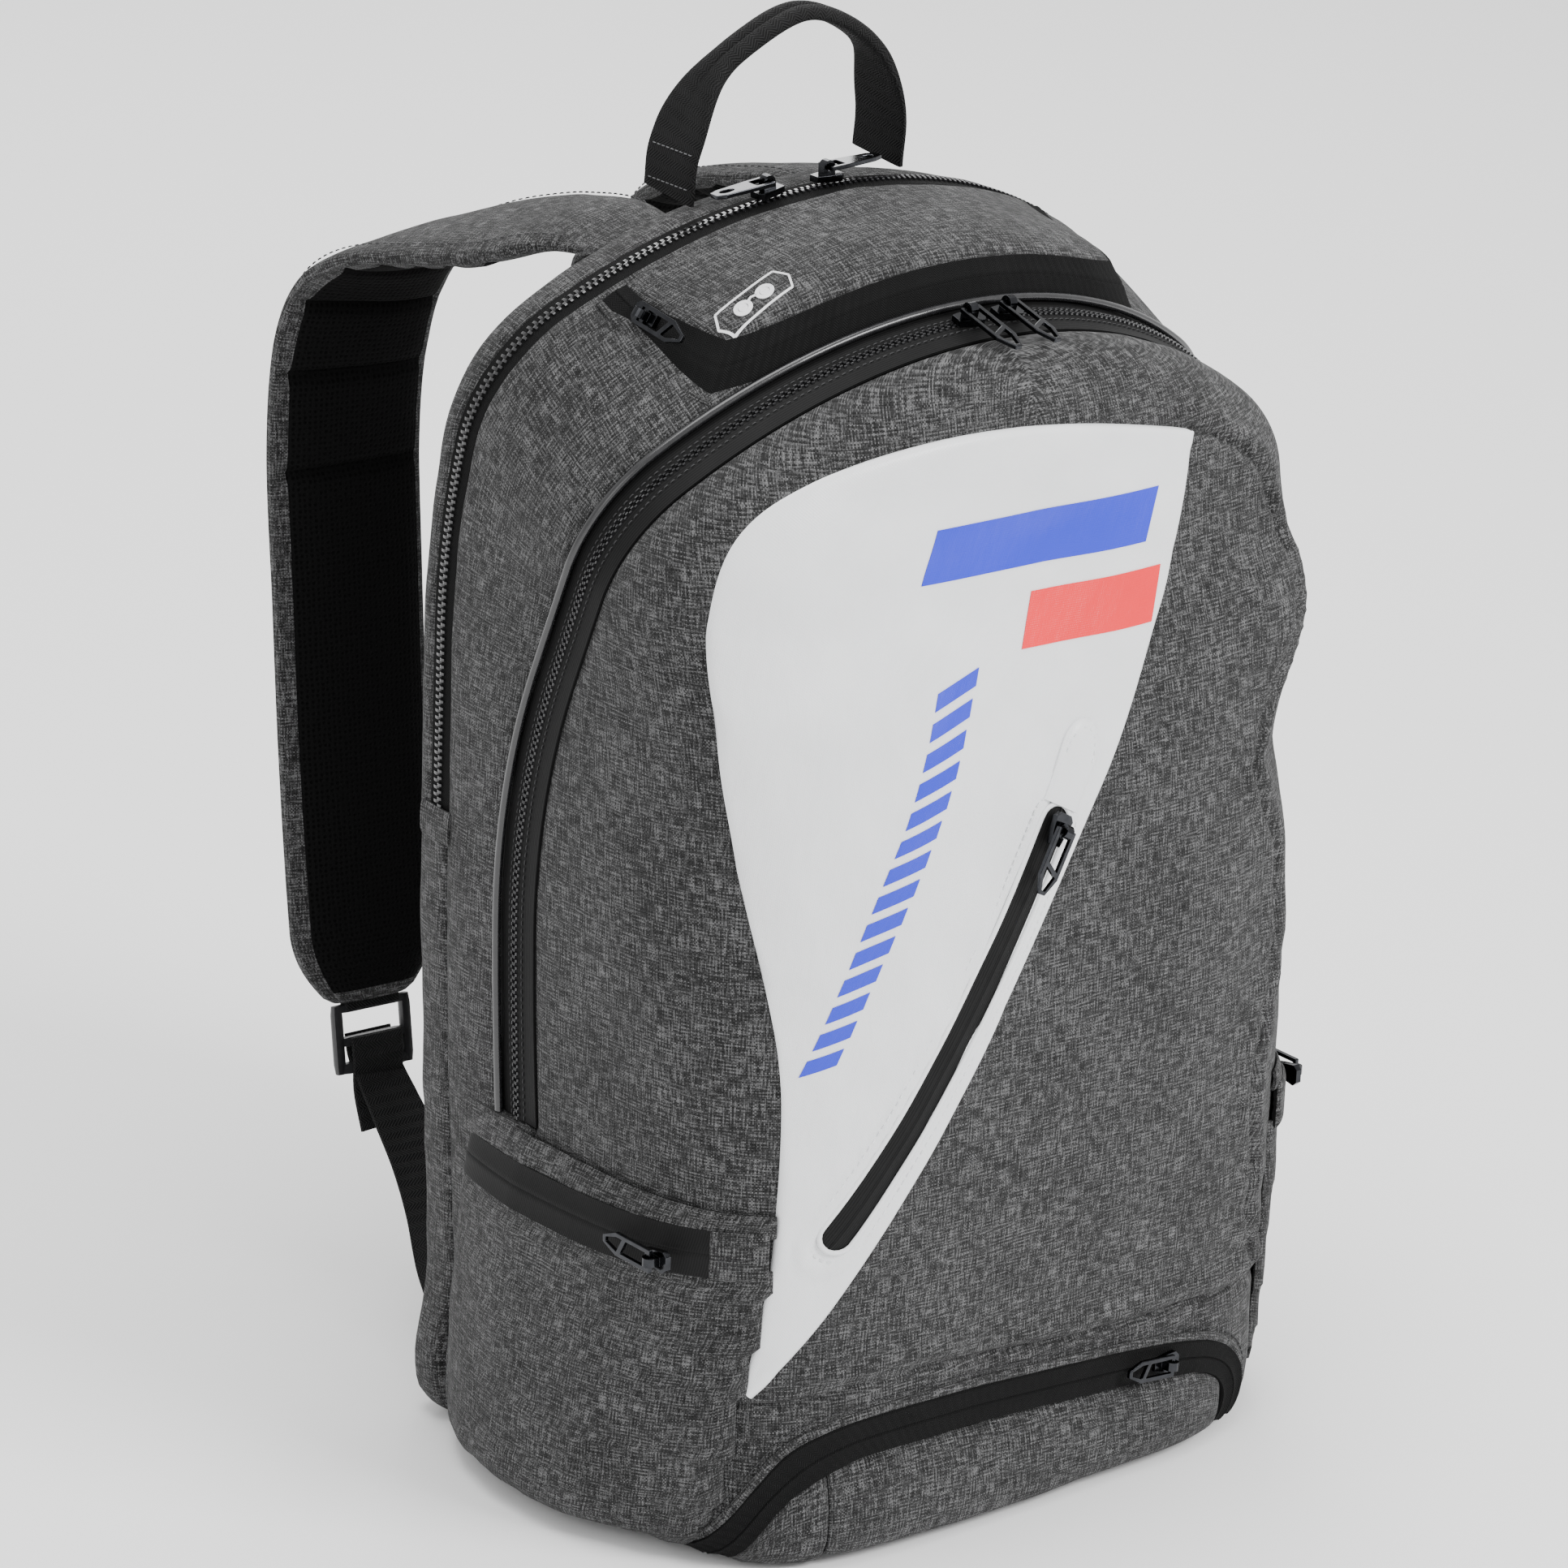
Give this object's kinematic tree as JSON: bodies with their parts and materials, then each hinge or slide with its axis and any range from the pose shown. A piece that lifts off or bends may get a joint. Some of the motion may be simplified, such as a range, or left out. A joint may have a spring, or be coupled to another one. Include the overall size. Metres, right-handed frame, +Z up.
{
  "type": "racket backpack",
  "caption": "Soft racket backpack with zipped front lid, rear racket sleeve, top eyewear pocket, side pockets, shoe compartment in the base, shoulder straps and grab handle",
  "frame": {"origin": "on the floor under the middle of the base panel", "axes": "+Z up, the front faces -Y, the shoulder straps are on +Y, +X is to the right seen from the front"},
  "size_m": [0.343, 0.3831, 0.5756],
  "materials": {
    "grey_fabric": "melange grey polyester, plain weave with light and dark slubs",
    "black_lining": "matt black polyester lining over foam",
    "zip_tape": "black woven zip tape with a coil",
    "coated_zip": "black zip tape with a matt water-repellent film",
    "white_tarpaulin": "glossy white coated tarpaulin, slightly creased",
    "piping": "glossy black cord piping",
    "black_mesh": "black spacer mesh over foam",
    "webbing": "ribbed black polyester webbing",
    "black_plastic": "moulded black acetal, satin",
    "gunmetal": "gloss gun-black plated zinc"
  },
  "bodies": {
    "root": {"rear_gusset": "grey_fabric", "main_shell": "grey_fabric", "lower_shell": "grey_fabric", "left_side_pocket": "grey_fabric", "right_side_pocket": "grey_fabric", "left_pocket_band": "grey_fabric", "right_pocket_band": "grey_fabric", "left_anchor_tab": "grey_fabric", "right_anchor_tab": "grey_fabric", "strap_yoke": "grey_fabric", "back_panel": "black_lining", "racket_divider": "black_lining", "base_panel": "black_lining", "shoe_compartment_ceiling": "black_lining", "rear_zip": "zip_tape", "front_zip_body_tape": "zip_tape", "shoe_zip": "zip_tape", "left_pocket_zip": "coated_zip", "right_pocket_zip": "coated_zip", "top_pocket_zip": "coated_zip", "white_panel_tip": "white_tarpaulin", "front_piping": "piping", "left_back_pad": "black_mesh", "right_back_pad": "black_mesh", "lumbar_pad": "black_mesh"},
    "front_lid": {"front_panel": "grey_fabric", "white_panel": "white_tarpaulin", "front_pocket_zip": "coated_zip", "zip_garage": "white_tarpaulin", "front_zip_lid_tape": "zip_tape"},
    "top_pocket_lid": {"top_pocket_cover": "grey_fabric"},
    "shoe_door": {"shoe_flap": "grey_fabric"},
    "left_strap": {"left_shoulder_pad": "black_mesh", "left_ladder_lock": "black_plastic", "left_lower_webbing": "webbing"},
    "right_strap": {"right_shoulder_pad": "black_mesh", "right_ladder_lock": "black_plastic", "right_lower_webbing": "webbing"},
    "handle": {"grab_handle": "webbing"},
    "rear_left_slide": {"rear_left_slider": "gunmetal"},
    "rear_left_pull": {"rear_left_puller": "gunmetal"},
    "rear_right_slide": {"rear_right_slider": "gunmetal"},
    "rear_right_pull": {"rear_right_puller": "gunmetal"},
    "front_left_slide": {"front_left_slider": "gunmetal"},
    "front_left_pull": {"front_left_puller": "gunmetal"},
    "front_right_slide": {"front_right_slider": "gunmetal"},
    "front_right_pull": {"front_right_puller": "gunmetal"},
    "front_pocket_slide": {"front_pocket_slider": "gunmetal"},
    "front_pocket_pull": {"front_pocket_puller": "gunmetal"},
    "left_pocket_slide": {"left_pocket_slider": "gunmetal"},
    "left_pocket_pull": {"left_pocket_puller": "gunmetal"},
    "right_pocket_slide": {"right_pocket_slider": "gunmetal"},
    "right_pocket_pull": {"right_pocket_puller": "gunmetal"},
    "top_pocket_slide": {"top_pocket_slider": "gunmetal"},
    "top_pocket_pull": {"top_pocket_puller": "gunmetal"},
    "shoe_slide": {"shoe_slider": "gunmetal"},
    "shoe_pull": {"shoe_puller": "gunmetal"}
  },
  "joints": [
    {"name": "front_lid_hinge", "type": "hinge", "parent": "root", "child": "front_lid", "pos_m": [0, -0.1166, 0.152], "axis": [1, 0, 0], "range_deg": [0, 70]},
    {"name": "top_pocket_hinge", "type": "hinge", "parent": "root", "child": "top_pocket_lid", "pos_m": [0, 0.0365, 0.506], "axis": [-1, 0, 0], "range_deg": [0, 50]},
    {"name": "shoe_flap_hinge", "type": "hinge", "parent": "root", "child": "shoe_door", "pos_m": [0, -0.107, 0.006], "axis": [1, 0, 0], "range_deg": [0, 70]},
    {"name": "left_strap_swing", "type": "hinge", "parent": "root", "child": "left_strap", "pos_m": [-0.058, 0.1, 0.48], "axis": [0.1399, -0.0155, 0.99], "range_deg": [-15, 15]},
    {"name": "right_strap_swing", "type": "hinge", "parent": "root", "child": "right_strap", "pos_m": [0.058, 0.1, 0.48], "axis": [-0.1399, -0.0155, 0.99], "range_deg": [-15, 15]},
    {"name": "grab_handle_hinge", "type": "hinge", "parent": "root", "child": "handle", "pos_m": [0, 0.08, 0.503], "axis": [1, 0, 0], "range_deg": [-60, 5]},
    {"name": "rear_left_slider_travel", "type": "hinge", "parent": "root", "child": "rear_left_slide", "pos_m": [0, 0.1245, 0.2845], "axis": [0, 0.9455, 0.3256], "range_deg": [-21, 0]},
    {"name": "rear_right_slider_travel", "type": "hinge", "parent": "root", "child": "rear_right_slide", "pos_m": [0, 0.1245, 0.2845], "axis": [0, 0.9455, 0.3256], "range_deg": [0, 28]},
    {"name": "front_left_slider_travel", "type": "hinge", "parent": "front_lid", "child": "front_left_slide", "pos_m": [0, 0.0408, 0.2702], "axis": [0, 0.9272, 0.3746], "range_deg": [-30, 0]},
    {"name": "front_right_slider_travel", "type": "hinge", "parent": "front_lid", "child": "front_right_slide", "pos_m": [0, 0.0408, 0.2702], "axis": [0, 0.9272, 0.3746], "range_deg": [0, 27]},
    {"name": "front_pocket_slider_travel", "type": "slide", "parent": "front_lid", "child": "front_pocket_slide", "axis": [-0.5223, -0.0285, -0.8523], "range_m": [0, 0.1]},
    {"name": "left_pocket_slider_travel", "type": "slide", "parent": "root", "child": "left_pocket_slide", "axis": [0, 1, 0], "range_m": [0, 0.105]},
    {"name": "right_pocket_slider_travel", "type": "slide", "parent": "root", "child": "right_pocket_slide", "axis": [0, 1, 0], "range_m": [0, 0.105]},
    {"name": "top_pocket_slider_travel", "type": "slide", "parent": "root", "child": "top_pocket_slide", "axis": [0, -0.9908, -0.1354], "range_m": [0, 0.016]},
    {"name": "shoe_slider_travel", "type": "slide", "parent": "shoe_door", "child": "shoe_slide", "axis": [-0.9967, -0.0009, 0.0817], "range_m": [0, 0.08]},
    {"name": "rear_left_puller_hinge", "type": "hinge", "parent": "rear_left_slide", "child": "rear_left_pull", "pos_m": [-0.02948, 0.04856, 0.51231], "axis": [0.0405, 0.9992, -0.0046], "range_deg": [0, 110]},
    {"name": "rear_right_puller_hinge", "type": "hinge", "parent": "rear_right_slide", "child": "rear_right_pull", "pos_m": [0, 0.04798, 0.51401], "axis": [0, -1, 0.0079], "range_deg": [0, 110]},
    {"name": "front_left_puller_hinge", "type": "hinge", "parent": "front_left_slide", "child": "front_left_pull", "pos_m": [-0.00197, -0.04324, 0.47989], "axis": [-1, 0.0033, -0.0081], "range_deg": [0, 120]},
    {"name": "front_right_puller_hinge", "type": "hinge", "parent": "front_right_slide", "child": "front_right_pull", "pos_m": [0.01772, -0.04298, 0.47925], "axis": [-0.9969, -0.0294, 0.0727], "range_deg": [0, 120]},
    {"name": "front_pocket_puller_hinge", "type": "hinge", "parent": "front_pocket_slide", "child": "front_pocket_pull", "pos_m": [-0.01016, -0.12182, 0.29218], "axis": [-0.8711, 0.041, 0.4894], "range_deg": [0, 120]},
    {"name": "left_pocket_puller_hinge", "type": "hinge", "parent": "left_pocket_slide", "child": "left_pocket_pull", "pos_m": [-0.16859, -0.072, 0.134], "axis": [0, 0, 1], "range_deg": [0, 120]},
    {"name": "right_pocket_puller_hinge", "type": "hinge", "parent": "right_pocket_slide", "child": "right_pocket_pull", "pos_m": [0.16859, -0.072, 0.134], "axis": [0, 0, -1], "range_deg": [0, 120]},
    {"name": "top_pocket_puller_hinge", "type": "hinge", "parent": "top_pocket_slide", "child": "top_pocket_pull", "pos_m": [-0.11144, 0.02309, 0.47934], "axis": [-0.4876, 0.1182, -0.865], "range_deg": [0, 100]},
    {"name": "shoe_puller_hinge", "type": "hinge", "parent": "shoe_slide", "child": "shoe_pull", "pos_m": [0.06819, -0.11533, 0.04375], "axis": [0.0994, 0.0518, 0.9937], "range_deg": [0, 120]}
  ]
}
